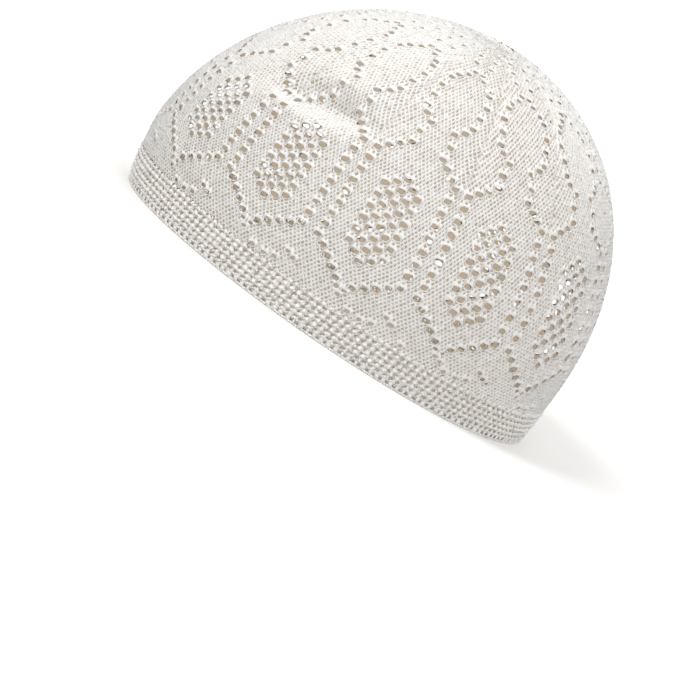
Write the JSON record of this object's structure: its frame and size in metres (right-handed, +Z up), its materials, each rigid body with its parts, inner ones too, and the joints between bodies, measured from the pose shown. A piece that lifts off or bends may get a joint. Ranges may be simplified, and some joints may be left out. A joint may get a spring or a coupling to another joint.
{
  "type": "openwork knitted kufi",
  "caption": "Soft round brimless cap of off-white openwork knit on a ribbed head band, with a lace pattern of eyelets and a shallow fold near the front of the top.",
  "frame": {"origin": "on the floor under the middle of the cap's outside, in the plane of the rim", "axes": "+Z up from the rim to the top, -Y to the forehead side, +Y to the back, +X to the wearer's left"},
  "size_m": [0.1642, 0.2034, 0.1333],
  "materials": {
    "crown_knit": "off-white fine cotton yarn, openwork knit",
    "band_knit": "off-white fine cotton yarn, ribbed knit",
    "edge_yarn": "off-white fine cotton yarn, chained edge"
  },
  "bodies": {
    "root": {"crown": "crown_knit", "rib_band": "band_knit", "cast_on_edge": "edge_yarn"}
  },
  "joints": []
}
